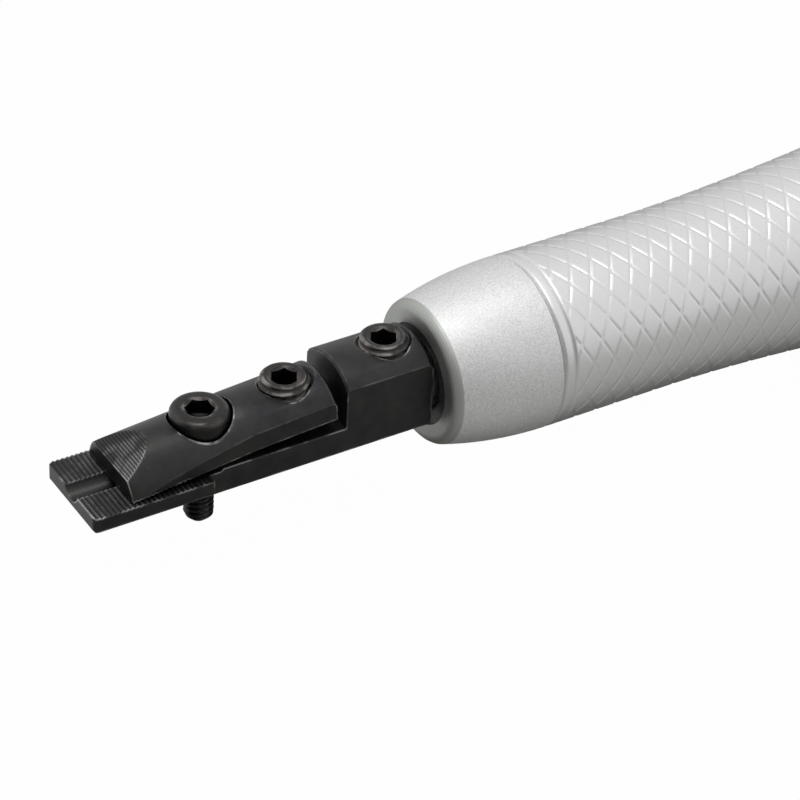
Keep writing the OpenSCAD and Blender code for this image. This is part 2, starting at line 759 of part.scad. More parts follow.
// Side view of the upper jaw: flat toothed underside and sloping nose facet
module jaw_side() {
    top_z = jaw_d / 2;
    facet_run = (top_z - facet_z) / tan(facet_angle);
    polygon(concat(
        [[jaw_front_x, jaw_low_z]],
        toothed([jaw_front_x, jaw_low_z], [clamp_at - clamp_d, jaw_low_z], tooth_pitch, tooth_t),
        [[jaw_rear_x, jaw_low_z], [jaw_rear_x, top_z], [jaw_front_x + facet_run, top_z]],
        toothed([jaw_front_x + facet_run, top_z], [jaw_front_x, facet_z], facet_pitch, facet_tooth_t),
        [[jaw_front_x, facet_z]]));
}

// Plan view of the upper jaw: parallel rear flats that run out to the front
module jaw_plan() {
    front_w = jaw_tip_d - 2 * face_gap;
    straight_x = jaw_rear_x - jaw_straight_len;
    polygon([[jaw_front_x, -front_w / 2], [straight_x, -jaw_flats_w / 2], [jaw_rear_x, -jaw_flats_w / 2],
        [jaw_rear_x, jaw_flats_w / 2], [straight_x, jaw_flats_w / 2], [jaw_front_x, front_w / 2]]);
}

// Tilts its children about the front edge of the upper jaw's underside
module tilted() {
    translate([jaw_front_x, 0, jaw_low_z]) rotate([0, -jaw_tilt, 0])
        translate([-jaw_front_x, 0, -jaw_low_z]) children();
}

// Height of the upper jaw's crown at a station
function jaw_crown_z(x) = jaw_low_z + (x - jaw_front_x) * sin(jaw_tilt)
    + (jaw_d / 2 - jaw_drop - jaw_low_z) * cos(jaw_tilt);

module upper_jaw() {
    edge = 0.3;
    color("#26282a") from_seam() difference() {
        tilted() intersection() {
            translate([0, 0, -jaw_drop]) turned([[jaw_front_x, 0], [jaw_front_x, jaw_tip_d / 2],
                [jaw_rear_x - jaw_straight_len, jaw_d / 2], [jaw_rear_x - edge, jaw_d / 2],
                [jaw_rear_x, jaw_d / 2 - edge], [jaw_rear_x, 0]]);
            translate([0, plate_w / 2, 0]) rotate([90, 0, 0]) linear_extrude(plate_w) jaw_side();
            translate([0, 0, -jaw_d]) linear_extrude(2 * jaw_d) jaw_plan();
        }
        translate([clamp_at, 0, -bottom_depth]) cylinder(r = clamp_d / 2 + stop_gap, h = holder_d);
        translate([clamp_at, 0, clamp_seat_z]) cylinder(r = clamp_head_d / 2 + stop_gap, h = holder_d);
        tapped_hole(jack_at, jaw_crown_z(jack_at));
    }
}

module clamp_screw() {
    shank = clamp_d / 2;
    edge_at = [clamp_head_d / 2 - clamp_edge_r, clamp_head_h - clamp_edge_r];
    color("#1c1c1e") from_seam() translate([clamp_at, 0, clamp_seat_z + seat_gap]) difference() {
        rotate_extrude() polygon(concat(
            [[0, -clamp_len], [shank - clamp_end_chamfer, -clamp_len],
             [shank, clamp_end_chamfer - clamp_len], [shank, 0], [clamp_head_d / 2, 0]],
            [for (a = [0 : 15 : 90]) edge_at + clamp_edge_r * [cos(a), sin(a)]],
            [[0, clamp_head_h]]));
        translate([0, 0, clamp_head_h / 2]) rotate([0, 0, clamp_turned]) hexagon(clamp_hex, clamp_head_h);
    }
}

// Hexagon socket set screw, its top at z = 0
module set_screw(length) {
    color("#1c1c1e") difference() {
        translate([0, 0, -length]) rotate_extrude()
            polygon([[0, 0], [set_r - set_chamfer, 0], [set_r, set_chamfer], [set_r, length - set_chamfer],
                [set_r - set_chamfer, length], [0, length]]);
        translate([0, 0, -set_socket_t]) hexagon(set_hex, set_socket_t + cut);
    }
}

module jack_screw() {
    from_seam() translate([jack_at, 0, jack_top_z]) set_screw(jack_top_z + raised_depth - seat_gap);
}

module shank_screw() {
    from_seam() translate([shank_screw_at, 0, shank_screw_top_z])
        set_screw(shank_screw_top_z - shank_r + shank_flat_t - seat_gap);
}

nose_cone();
wiper_seal();
guide_bush();
nose_o_ring();
grip();
front_bumper();
cylinder_liner();
liner_o_rings();
rear_bumper();
cylinder_head();
dowel_pin();
throttle_stem();
stem_o_rings();
silencer();
exhaust_collar();
stop_pin();
throttle_ring();
thrust_washer();
inlet_bush();
inlet_strainer();
plunger_rod();
piston();
piston_rings();
piston_nut();
holder_body();
upper_jaw();
clamp_screw();
jack_screw();
shank_screw();
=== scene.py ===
# Pencil grip air file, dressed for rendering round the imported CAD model.
import itertools
import json
import math

import bmesh
import bpy
from mathutils import Matrix, Vector


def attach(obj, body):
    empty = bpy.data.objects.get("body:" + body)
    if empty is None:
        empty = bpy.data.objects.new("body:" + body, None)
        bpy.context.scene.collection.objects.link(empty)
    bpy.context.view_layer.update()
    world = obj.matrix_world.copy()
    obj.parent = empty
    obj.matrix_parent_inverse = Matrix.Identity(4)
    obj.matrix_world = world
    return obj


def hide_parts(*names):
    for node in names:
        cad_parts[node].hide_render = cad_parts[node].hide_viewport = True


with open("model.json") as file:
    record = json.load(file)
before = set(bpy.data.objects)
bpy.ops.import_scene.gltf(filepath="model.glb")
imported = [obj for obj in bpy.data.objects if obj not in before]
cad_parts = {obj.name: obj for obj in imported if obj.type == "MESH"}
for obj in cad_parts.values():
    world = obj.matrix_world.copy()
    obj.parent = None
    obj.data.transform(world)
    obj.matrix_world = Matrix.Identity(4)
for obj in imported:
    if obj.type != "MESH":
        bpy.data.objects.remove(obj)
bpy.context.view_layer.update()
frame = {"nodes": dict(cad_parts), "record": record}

MM = 0.001
TURN = 2 * math.pi
SEAM_X = -0.1297  # seam between nose and grip in the part's frame
SEAM = (SEAM_X, 0, 0)
FLOOR_Z = -0.0138
WHITE = (1, 1, 1, 1)
EDGE_GREY = (0.6, 0.6, 0.6, 1)  # how much of the light blasted metal keeps at a glancing angle
NOISE_LOW, NOISE_HIGH = 0.3, 0.7  # most values of a noise texture lie between these


# Nodes
def reckon(tree, operation, first, second):
    """Sum, product or the like of two values, each of them a float or a socket."""
    node = tree.nodes.new("ShaderNodeMath")
    node.operation = operation
    for socket, value in zip(node.inputs, (first, second)):
        if isinstance(value, float):
            socket.default_value = value
        else:
            tree.links.new(value, socket)
    return node.outputs["Value"]


def ramp(tree, value, low, high, at_low, at_high):
    """Straight slope from at_low to at_high between two values, level beyond them."""
    node = tree.nodes.new("ShaderNodeMapRange")
    limits = {"From Min": low, "From Max": high, "To Min": at_low, "To Max": at_high}
    for key, number in limits.items():
        node.inputs[key].default_value = number
    tree.links.new(value, node.inputs["Value"])
    return node.outputs["Result"]


# Materials
class Finish:
    """A procedural material whose textures are laid out in millimetres of the part's own frame."""

    def __init__(self, name, **sockets):
        self.mat = bpy.data.materials.new(name)
        self.mat.use_nodes = True
        self.tree = self.mat.node_tree
        self.shader = self.tree.nodes["Principled BSDF"]
        for key, value in sockets.items():
            self.shader.inputs[key.replace("_", " ")].default_value = value
        coords = self.tree.nodes.new("ShaderNodeTexCoord")
        self.mm = self.scaled(coords.outputs["Object"], (1 / MM, 1 / MM, 1 / MM))

    def link(self, output, socket):
        self.tree.links.new(output, socket)

    def scaled(self, vector, factors):
        node = self.tree.nodes.new("ShaderNodeMapping")
        node.inputs["Scale"].default_value = factors
        self.link(vector, node.inputs["Vector"])
        return node.outputs["Vector"]

    def station(self, axis):
        """Place along one axis of the part's frame, in millimetres."""
        node = self.tree.nodes.new("ShaderNodeSeparateXYZ")
        self.link(self.mm, node.inputs["Vector"])
        return node.outputs[axis]

    def around(self, place, full, none):
        """1 within one distance of a place beside the seam, 0 beyond the other, in millimetres."""
        x, y, z = place
        node = self.tree.nodes.new("ShaderNodeVectorMath")
        node.operation = "DISTANCE"
        self.link(self.mm, node.inputs[0])
        node.inputs[1].default_value = (SEAM_X / MM + x, y, z)
        return self.ramp(node.outputs["Value"], full, none, 1.0, 0.0)

    def noise(self, per_mm, detail=3.0, roughness=0.5, vector=None):
        node = self.tree.nodes.new("ShaderNodeTexNoise")
        node.inputs["Scale"].default_value = per_mm
        node.inputs["Detail"].default_value = detail
        node.inputs["Roughness"].default_value = roughness
        self.link(vector or self.mm, node.inputs["Vector"])
        return node.outputs["Fac"]

    def ramp(self, value, low, high, at_low, at_high):
        return ramp(self.tree, value, low, high, at_low, at_high)

    def reckon(self, operation, first, second):
        return reckon(self.tree, operation, first, second)

    def spread(self, noise, at_low, at_high):
        """Spreads the usual values of a noise over a range."""
        return self.ramp(noise, NOISE_LOW, NOISE_HIGH, at_low, at_high)

    def blend(self, factor, first, second):
        """Mix of two colours, each of them a tuple or a socket."""
        node = self.tree.nodes.new("ShaderNodeMix")
        node.data_type = "RGBA"
        sockets = [s for s in node.inputs if s.type == "RGBA"]
        for socket, value in zip(sockets, (first, second)):
            if isinstance(value, tuple):
                socket.default_value = (*value, 1)
            else:
                self.link(value, socket)
        self.link(factor, node.inputs["Factor"])
        return next(s for s in node.outputs if s.type == "RGBA")

    def mottled(self, noise, dark, light):
        return self.blend(self.spread(noise, 0.0, 1.0), dark, light)

    def edge_mask(self, width_mm, full, none):
        """1 on outer edges, 0 on flat ground and in corners, from how little metal lies below."""
        node = self.tree.nodes.new("ShaderNodeAmbientOcclusion")
        node.inside = True
        node.only_local = True
        node.samples = 8
        node.inputs["Distance"].default_value = width_mm * MM
        return self.ramp(node.outputs["AO"], none, full, 0.0, 1.0)

    def colour(self, output):
        self.link(output, self.shader.inputs["Base Color"])

    def roughness(self, grain, smooth, rough, cloud=None, drift=None):
        """Roughness that follows a grain, and drifts to and fro with a cloud if there is one."""
        output = self.spread(grain, smooth, rough)
        if cloud is not None:
            output = self.reckon("ADD", self.spread(cloud, *drift), output)
        self.link(output, self.shader.inputs["Roughness"])

    def bump(self, height, depth_mm, strength, edge_mm=0.0):
        """Relief of a height map, over edges rounded by a width if there is one."""
        node = self.tree.nodes.new("ShaderNodeBump")
        node.inputs["Strength"].default_value = strength
        node.inputs["Distance"].default_value = depth_mm * MM
        self.link(height, node.inputs["Height"])
        if edge_mm:
            self.link(self.rounded(edge_mm), node.inputs["Normal"])
        self.link(node.outputs["Normal"], self.shader.inputs["Normal"])

    def rounded(self, radius_mm):
        node = self.tree.nodes.new("ShaderNodeBevel")
        node.samples = 6
        node.inputs["Radius"].default_value = radius_mm * MM
        return node.outputs["Normal"]


def blasted_aluminium():
    """Bead blasted aluminium with coarse sparkling grain; the nose's rounded front is turned,
    without grain, and painted darker as painted shade.
    """
    f = Finish("blasted_aluminium", Metallic=1.0, Specular_Tint=EDGE_GREY)
    crease, half_width = SEAM_X / MM - 12.6, 0.08
    blasted = f.ramp(f.station("X"), crease - half_width, crease + half_width, 0.0, 1.0)
    grain = f.noise(4.8, detail=4.0, roughness=0.75)
    cloud = f.noise(0.25, detail=2.0)
    sparkle = f.ramp(grain, low=0.36, high=0.60, at_low=0.0, at_high=1.0)
    speckle = f.blend(sparkle, (0.58, 0.59, 0.58), (0.79, 0.795, 0.79))
    # Painted shade: the turned front's colour is darker than the blasted metal and stands in for
    # the dark reflection on the nose's rounded front. Its lack of grain is real.
    turned = f.mottled(cloud, dark=(0.42, 0.43, 0.41), light=(0.46, 0.47, 0.45))
    f.colour(f.blend(blasted, turned, speckle))
    f.roughness(grain, 0.48, 0.58, cloud, drift=(-0.03, 0.03))
    relief = f.reckon("MULTIPLY", grain, f.ramp(blasted, 0.0, 1.0, at_low=0.12, at_high=1.0))
    f.bump(relief, depth_mm=0.05, strength=0.7, edge_mm=0.08)
    return f.mat


def satin_aluminium():
    """Finely blasted aluminium of the grip."""
    f = Finish("satin_aluminium", Metallic=1.0, Specular_Tint=EDGE_GREY)
    grain = f.noise(7.0, detail=3.0, roughness=0.6)
    cloud = f.noise(0.2, detail=2.0)
    f.colour(f.mottled(grain, dark=(0.64, 0.65, 0.64), light=(0.72, 0.725, 0.72)))
    f.roughness(grain, 0.38, 0.44, cloud, drift=(-0.02, 0.02))
    f.bump(grain, depth_mm=0.008, strength=0.3)
    return f.mat


def black_oxide():
    """Blackened steel of the holder, worn bright in patches along its edges, with painted
    highlights on two edges near the tip.
    """
    f = Finish("black_oxide", Metallic=0.8)
    fine = f.noise(6.0, detail=4.0, roughness=0.6)
    cloud = f.noise(0.35, detail=3.0, roughness=0.6)
    worn = f.edge_mask(width_mm=0.24, full=0.68, none=0.95)
    patch = f.ramp(f.noise(0.5, detail=3.0), low=0.45, high=0.60, at_low=0.1, at_high=0.75)
    # Painted highlights: two spots, on the facet's near edge and on the plate's near front top
    # corner, brighten the edge colour where glints fall.
    facet_edge_highlight = f.around((-51.2, -3.7, 3.2), full=2.2, none=2.9)
    plate_corner_highlight = f.around((-57.1, -5.4, -0.9), full=0.8, none=1.3)
    bright_share = f.reckon("MAXIMUM", patch, f.reckon("MAXIMUM", facet_edge_highlight, plate_corner_highlight))
    base = f.mottled(cloud, dark=(0.027, 0.027, 0.030), light=(0.045, 0.045, 0.043))
    # Bright edge colour: wear in random patches, plus the two painted highlights.
    f.colour(f.blend(f.reckon("MULTIPLY", worn, bright_share), base, (0.46, 0.455, 0.45)))
    f.roughness(fine, 0.34, 0.46, cloud, drift=(-0.04, 0.05))
    f.bump(fine, depth_mm=0.006, strength=0.4, edge_mm=0.06)
    return f.mat


def black_screw():
    """Blackened screws whose rims wear bright and slightly brown at the key's end."""
    f = Finish("black_screw", Metallic=0.85)
    fine = f.noise(5.0, detail=4.0, roughness=0.6)
    worn = f.edge_mask(width_mm=0.50, full=0.68, none=0.97)
    patch = f.ramp(f.noise(0.6, detail=3.0), low=0.44, high=0.60, at_low=0.12, at_high=1.0)
    near_key = f.ramp(f.station("Z"), low=2.0, high=3.5, at_low=0.08, at_high=1.0)
    bright_share = f.reckon("MULTIPLY", patch, near_key)
    base = f.mottled(fine, dark=(0.020, 0.019, 0.019), light=(0.040, 0.038, 0.037))
    f.colour(f.blend(f.reckon("MULTIPLY", worn, bright_share), base, (0.27, 0.25, 0.235)))
    f.roughness(fine, 0.26, 0.40)
    f.bump(fine, depth_mm=0.008, strength=0.35, edge_mm=0.04)
    return f.mat


def turned_metal(name, dark, light, rough, lines_per_mm=9.0):
    """Metal with the fine rings that a lathe leaves round the tool axis."""
    f = Finish(name, Metallic=1.0)
    round_axis = 0.05  # next to no change along a ring
    rings = f.noise(
        1.0, detail=3.0, roughness=0.6,
        vector=f.scaled(f.mm, (lines_per_mm, round_axis, round_axis)))
    cloud = f.noise(0.5, detail=3.0)
    f.colour(f.mottled(cloud, dark, light))
    f.roughness(rings, rough - 0.05, rough + 0.06, cloud, drift=(-0.04, 0.04))
    f.bump(rings, depth_mm=0.006, strength=0.4, edge_mm=0.06)
    return f.mat


def plain_finish(name, fine, dark, light, rough, bump, metallic=0.0, cloud_per_mm=None):
    """Colour and relief that follow a fine noise, roughness that follows it or a cloud."""
    f = Finish(name, Metallic=metallic)
    grain = f.noise(*fine)
    f.colour(f.mottled(grain, dark, light))
    f.roughness(f.noise(cloud_per_mm) if cloud_per_mm else grain, *rough)
    f.bump(grain, *bump)
    return f.mat


FINISHES = {
    "satin_aluminium": blasted_aluminium(),
    "black_rubber": plain_finish(
        "black_rubber", fine=(8.0, 3.0, 0.6), dark=(0.012, 0.012, 0.012),
        light=(0.024, 0.024, 0.025), rough=(0.45, 0.62), bump=(0.01, 0.4), cloud_per_mm=0.6),
    "bronze": turned_metal("bronze", (0.42, 0.27, 0.12), (0.56, 0.38, 0.18), rough=0.34),
    "polyurethane": plain_finish(
        "polyurethane", fine=(6.0, 3.0), dark=(0.40, 0.10, 0.05),
        light=(0.50, 0.15, 0.08), rough=(0.38, 0.5), bump=(0.008, 0.4)),
    "ground_steel": turned_metal(
        "ground_steel", (0.46, 0.47, 0.49), (0.58, 0.59, 0.61), rough=0.28, lines_per_mm=14.0),
    "dark_steel": turned_metal(
        "dark_steel", (0.20, 0.205, 0.215), (0.30, 0.305, 0.32), rough=0.36),
    "felt": plain_finish(
        "felt", fine=(5.0, 5.0, 0.75), dark=(0.55, 0.51, 0.42),
        light=(0.80, 0.76, 0.67), rough=(0.85, 0.95), bump=(0.12, 0.8)),
    "black_anodised": plain_finish(
        "black_anodised", fine=(7.0, 3.0, 0.6), dark=(0.020, 0.021, 0.023),
        light=(0.036, 0.037, 0.040), rough=(0.32, 0.42), bump=(0.006, 0.35, 0.06),
        metallic=0.6, cloud_per_mm=0.5),
    "nickel_plate": turned_metal(
        "nickel_plate", (0.58, 0.575, 0.56), (0.66, 0.655, 0.64), rough=0.26),
    "brass_gauze": turned_metal(
        "brass_gauze", (0.50, 0.36, 0.14), (0.66, 0.50, 0.22), rough=0.36),
    "black_oxide": black_oxide(),
    "black_screw": black_screw(),
}
GRIP_FINISH = satin_aluminium()

slot_of = {part["node"]: part["material_slot"] for part in frame["record"]["subparts"]}
for node_name, obj in frame["nodes"].items():
    for material_slot in obj.material_slots:
        material_slot.link = "OBJECT"
        material_slot.material = FINISHES[slot_of[node_name]]


# Pieces, measured in millimetres
def add_object(name, data):
    obj = bpy.data.objects.new(name, data)
    bpy.context.scene.collection.objects.link(obj)
    return obj


def add_piece(name, bm, body, finish, smooth_deg):
    """Makes a piece of a closed bmesh and sets it on its body."""
    bmesh.ops.recalc_face_normals(bm, faces=bm.faces[:])
    mesh = bpy.data.meshes.new(name)
    bm.to_mesh(mesh)
    bm.free()
    mesh.materials.append(finish)
    for polygon in mesh.polygons:
        polygon.use_smooth = True
    mesh.set_sharp_from_angle(angle=math.radians(smooth_deg))
    obj = add_object(name, mesh)
    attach(obj, body)
    return obj


def ring_faces(bm, ring_a, ring_b):
    count = len(ring_a)
    for i in range(count):
        j = (i + 1) % count
        bm.faces.new((ring_a[i], ring_a[j], ring_b[j], ring_b[i]))


def on_axis(station, radius, angle):
    """Point at a station behind the seam, turned from +Z towards +Y."""
    return Vector((
        SEAM_X + station * MM, radius * MM * math.sin(angle), radius * MM * math.cos(angle)))


NOSE_R = 10.35
REAR_R = 12.6
GRIP_LEN = 96.0
SWELL_START, SWELL_END, SWELL = 16.0, 76.0, 3.19
LATTICE_FRONT, LATTICE_REAR = 1.9, 95.3


def grip_radius(x):
    """Radius of the grip at a station behind the seam."""
    if x < SWELL_START:
        return NOSE_R
    if x < SWELL_END:
        done = (x - SWELL_START) / (SWELL_END - SWELL_START)
        return NOSE_R + SWELL * (1 - math.cos(math.pi * done)) / 2
    done = (x - SWELL_END) / (GRIP_LEN - SWELL_END)
    return REAR_R + (NOSE_R + SWELL - REAR_R) * (1 + math.cos(math.pi * done)) / 2


def diamond_lattice(bm):
    """Lattice of crossing helical grooves round the grip, cut off square at both ends."""
    starts, pitch = 13, 2.752  # grooves each way and the length of a diamond
    row_angle, row_x = math.radians(-9.7), 10.75  # one of the crossings
    groove, lip, depth = 0.11, 0.145, 0.08
    rows = [0.0, groove, lip, 0.3, 0.5, 0.7, 1 - lip, 1 - groove]  # vertices across a diamond
    per = len(rows)
    whole_turn = starts * per
    spare = 2  # diamonds beyond each end, for the cut
    cut_tolerance = 1e-8
    verts = {}

    def vertex(u_index, v_index):
        shift = u_index // whole_turn * whole_turn
        key = (u_index - shift, v_index - shift)
        if key not in verts:
            u, v = (index // per + rows[index % per] for index in key)
            x = row_x + pitch * (u - v) / 2
            near = min(u % 1, 1 - u % 1, v % 1, 1 - v % 1)
            drop = depth * max(0.0, 1 - near / groove)
            angle = row_angle + math.pi * (u + v) / starts
            radius = grip_radius(min(x, GRIP_LEN)) - drop
            verts[key] = bm.verts.new(on_axis(x, radius, angle))
        return verts[key]

    low = math.floor(2 * (LATTICE_FRONT - row_x) / pitch) - spare
    high = math.ceil(2 * (LATTICE_REAR - row_x) / pitch) + spare
    turns, stations = range(starts), range(low, high + 1)
    for i, k, a, b in itertools.product(turns, stations, range(per), range(per)):
        u, v = i * per + a, (i - k) * per + b
        bm.faces.new((vertex(u, v), vertex(u, v + 1), vertex(u + 1, v + 1), vertex(u + 1, v)))
    for x, side in ((LATTICE_FRONT, -1), (LATTICE_REAR, 1)):
        bmesh.ops.bisect_plane(
            bm, geom=bm.verts[:] + bm.edges[:] + bm.faces[:], dist=cut_tolerance,
            plane_co=(SEAM_X + x * MM, 0, 0), plane_no=(side, 0, 0), clear_outer=True)


def end_ring(bm, x):
    """Vertices along the open edge at a station, in order round the axis."""
    tolerance = 1e-6
    edge_x = SEAM_X + x * MM
    found = [v for v in bm.verts if v.is_boundary and abs(v.co.x - edge_x) < tolerance]
    return sorted(found, key=lambda v: math.atan2(v.co.y, v.co.z))


def extended(bm, ring, profile):
    """Runs a ring through the (station, radius) pairs of a profile and returns the last ring."""
    angles = [math.atan2(v.co.y, v.co.z) for v in ring]
    for x, radius in profile:
        new_ring = [bm.verts.new(on_axis(x, radius, a)) for a in angles]
        ring_faces(bm, ring, new_ring)
        ring = new_ring
    return ring


def diamond_grip():
    """Grip with its lattice, the ring groove and rounded edge beside the seam, and its bores."""
    groove_edge = [(1.87, 0.0), (1.72, 0.025), (1.57, 0.09), (1.44, 0.2), (1.36, 0.2), (1.2, 0.0)]
    seam_edge = [(0.45, 0.0), (0.296, 0.027), (0.161, 0.105), (0.06, 0.225), (0.0, 0.3)]
    bore_r, bore_end = 8.65, 40.0
    mouth_r, mouth_end = 10.0, 70.0
    chamfer_x, chamfer = 95.4, 0.6
    bm = bmesh.new()
    diamond_lattice(bm)
    front = extended(
        bm, end_ring(bm, LATTICE_FRONT),
        [(x, NOSE_R - drop) for x, drop in groove_edge + seam_edge]
        + [(0.0, bore_r), (bore_end, bore_r)])
    rear = extended(
        bm, end_ring(bm, LATTICE_REAR),
        [(chamfer_x, grip_radius(chamfer_x)), (GRIP_LEN, REAR_R - chamfer),
         (GRIP_LEN, mouth_r), (mouth_end, mouth_r), (mouth_end, bore_r)])
    edges = []
    for ring in (front, rear):
        for i, v in enumerate(ring):
            edges.append(bm.edges.get((v, ring[(i + 1) % len(ring)])))
    bmesh.ops.bridge_loops(bm, edges=edges)
    obj = add_piece(
        "grip_diamond", bm, "tool_body", GRIP_FINISH, smooth_deg=25)
    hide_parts("grip")


def profile_solid(name, rings, place, sides, body, slot, has_bore=False):
    """Closed solid from rings of (height, radius), where either may depend on the angle.

    With a bore the last ring joins the first, otherwise both ends are closed.
    """
    bm = bmesh.new()
    angles = [TURN * i / sides for i in range(sides)]

    def value(item, angle):
        return item(angle) if callable(item) else item

    def point(height, radius, angle):
        reach = value(radius, angle)
        return place @ Vector((
            reach * math.cos(angle), reach * math.sin(angle), value(height, angle)))

    loops = []
    for height, radius in rings:
        loops.append([bm.verts.new(point(height, radius, a)) for a in angles])
    for lower, upper in zip(loops, loops[1:]):
        ring_faces(bm, lower, upper)
    if has_bore:
        ring_faces(bm, loops[-1], loops[0])
    else:
        for end in (0, -1):
            centre = bm.verts.new(point(rings[end][0], 0.0, 0.0))
            for i, v in enumerate(loops[end]):
                bm.faces.new((v, loops[end][(i + 1) % sides], centre))
    return add_piece(name, bm, body, FINISHES[slot], smooth_deg=30)


def hexagon_radius(across_flats, turned):
    """Distance from the axis to the side of a hexagon, with a corner at the angle turned."""
    side = TURN / 6

    def radius(angle):
        return across_flats / 2 / math.cos((angle - turned) % side - side / 2)
    return radius


RINGS_PER_TURN = 12  # of a thread
SCREW_SIDES = 72


def thread_radius(outer, depth, pitch, height, limit, start):
    """Radius on a single start thread at a height, cut back to a limit such as a chamfer."""
    flat = 0.12

    def radius(angle):
        along = (height / pitch - (angle + start) / TURN) % 1
        slope = (1 - abs(2 * along - 1) - flat) / (1 - 2 * flat)
        return min(outer - depth * min(1.0, max(0.0, slope)), limit)
    return radius


def thread_rings(bottom, top, outer, depth, pitch, bottom_chamfer, top_chamfer, start=0.0):
    count = round((top - bottom) / pitch * RINGS_PER_TURN)
    rings = []
    for i in range(count + 1):
        height = bottom + (top - bottom) * i / count
        cut = max(0.0, bottom_chamfer - (height - bottom), top_chamfer - (top - height))
        rings.append((height, thread_radius(outer, depth, pitch, height, outer - cut, start)))
    return rings


def socket_rings(top, across_flats, turned, depth, mouth_r):
    """Hexagon socket from its countersunk mouth down to the cone that the drill left."""
    slope, cone, least = math.tan(math.radians(35)), 0.6, 0.02
    wall = hexagon_radius(across_flats, turned)

    def scallop(angle):
        return top - max(least, mouth_r - wall(angle)) * slope
    return [
        (top, mouth_r), (scallop, wall), (top - depth, wall),
        (top - depth - cone / 2, across_flats / 4)]


def screw_place(station, height):
    corner = Vector((SEAM_X + station * MM, 0, height * MM))
    return Matrix.Translation(corner) @ Matrix.Scale(MM, 4)


def clamp_screw():
    """Socket head cap screw, M4 with a fully threaded shank."""
    station, seat = -41.7, 1.07
    shank_r, pitch, depth, length = 1.73, 0.7, 0.34, 11.3
    neck, end_chamfer, runout = 0.5, 0.8, 0.35
    head_r, head_h, edge_r, under_edge = 3.4, 3.9, 0.7, 0.12
    arc = [math.radians(a) for a in range(0, 91, 15)]
    rings = thread_rings(-length, -neck, shank_r, depth, pitch, end_chamfer, runout)
    rings += [
        (-neck, shank_r - runout), (0.0, shank_r), (0.0, head_r - under_edge),
        (under_edge, head_r)]
    rings += [
        (head_h - edge_r * (1 - math.sin(a)), head_r - edge_r * (1 - math.cos(a))) for a in arc]
    rings += socket_rings(
        head_h, across_flats=3.0, turned=math.radians(30), depth=1.95, mouth_r=1.8)
    obj = profile_solid(
        "clamp_screw_m4", rings, screw_place(station, seat), SCREW_SIDES, "clamp", "black_screw")
    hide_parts("clamp_screw")


def set_screw(name, node, body, station, top, length):
    """Hexagon socket set screw, M6, its top at the height given."""
    outer, pitch, depth = 2.95, 1.0, 0.5
    end_chamfer, top_chamfer = 0.6, 0.45
    start = math.radians(200)
    rings = [(-length, outer - end_chamfer)]
    rings += thread_rings(-length, 0.0, outer, depth, pitch, end_chamfer, top_chamfer, start)
    rings += socket_rings(0.0, across_flats=2.85, turned=0.0, depth=2.4, mouth_r=1.8)
    obj = profile_solid(name, rings, screw_place(station, top), SCREW_SIDES, body, "black_screw")
    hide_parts(node)


def inlet_bush():
    """Hexagonal inlet with chamfered ends and a quarter inch pipe thread."""
    front, rear, shoulder = 113.5, 129.7, 119.7
    hexagon, corner_r, bore_r = 17.0, 9.685, 6.0
    chamfer, steps = 1.0, 6
    minor, depth, pitch = 5.72, 0.85, 1.337
    lead, rim = 0.9, 0.05
    sides = 96
    flats = hexagon_radius(hexagon, 0.0)

    def chamfered(x):
        share = min(1.0, (x - front) / chamfer, (rear - x) / chamfer)
        reach = hexagon / 2 + (corner_r - hexagon / 2) * share
        return lambda angle: min(flats(angle), reach)

    def threaded(x):
        widened = max(0.0, lead - (rear - x))

        def radius(angle):
            along = (x / pitch - angle / TURN) % 1
            return max(minor + depth * (1 - abs(2 * along - 1)), minor + widened)
        return radius

    stations = [front + chamfer * i / steps for i in range(steps + 1)]
    stations += [rear - chamfer * i / steps for i in range(steps, -1, -1)]
    rings = [(x, chamfered(x)) for x in stations]
    rings += [(rear, minor + lead + rim)]
    count = round((rear - shoulder) / pitch * RINGS_PER_TURN)
    for i in range(1, count):
        x = rear - (rear - shoulder) * i / count
        rings.append((x, threaded(x)))
    rings += [(shoulder, minor), (shoulder, bore_r), (front, bore_r)]
    along_x = Matrix.Rotation(math.radians(90), 4, "Y")
    place = Matrix.Translation(Vector(SEAM)) @ along_x @ Matrix.Scale(MM, 4)
    obj = profile_solid(
        "inlet_bush_thread", rings, place, sides, "tool_body", "nickel_plate", has_bore=True)
    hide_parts("inlet_bush")


def softened(node, width):
    """Breaks the sharp edges of a CAD piece as tumbling does."""
    same_place, sharp_deg = 1e-6, 32
    obj = frame["nodes"][node]
    weld = obj.modifiers.new("weld", "WELD")
    weld.merge_threshold = same_place
    bevel = obj.modifiers.new("broken_edges", "BEVEL")
    bevel.width = width * MM
    bevel.segments = 2
    bevel.limit_method = "ANGLE"
    bevel.angle_limit = math.radians(sharp_deg)


diamond_grip()
clamp_screw()
set_screw("jack_screw_m6", "jack_screw", "jack", station=-31.1, top=5.7, length=6.33)
set_screw("shank_screw_m6", "shank_screw", "shank_clamp", station=-18.3, top=6.85, length=4.83)
inlet_bush()
for worn_node in ("holder_body", "upper_jaw"):
    softened(worn_node, width=0.05)


# Stage, light and camera, measured in metres
def cleared_tree(owner):
    owner.use_nodes = True
    owner.node_tree.nodes.clear()
    return owner.node_tree


def white_light(tree, kind, strength):
    node = tree.nodes.new(kind)
    node.inputs["Color"].default_value = WHITE
    node.inputs["Strength"].default_value = strength
    return node.outputs[0]


def mixed(tree, factor, first, second):
    node = tree.nodes.new("ShaderNodeMixShader")
    for socket, output in zip(node.inputs, (factor, first, second)):
        tree.links.new(output, socket)
    return node.outputs[0]


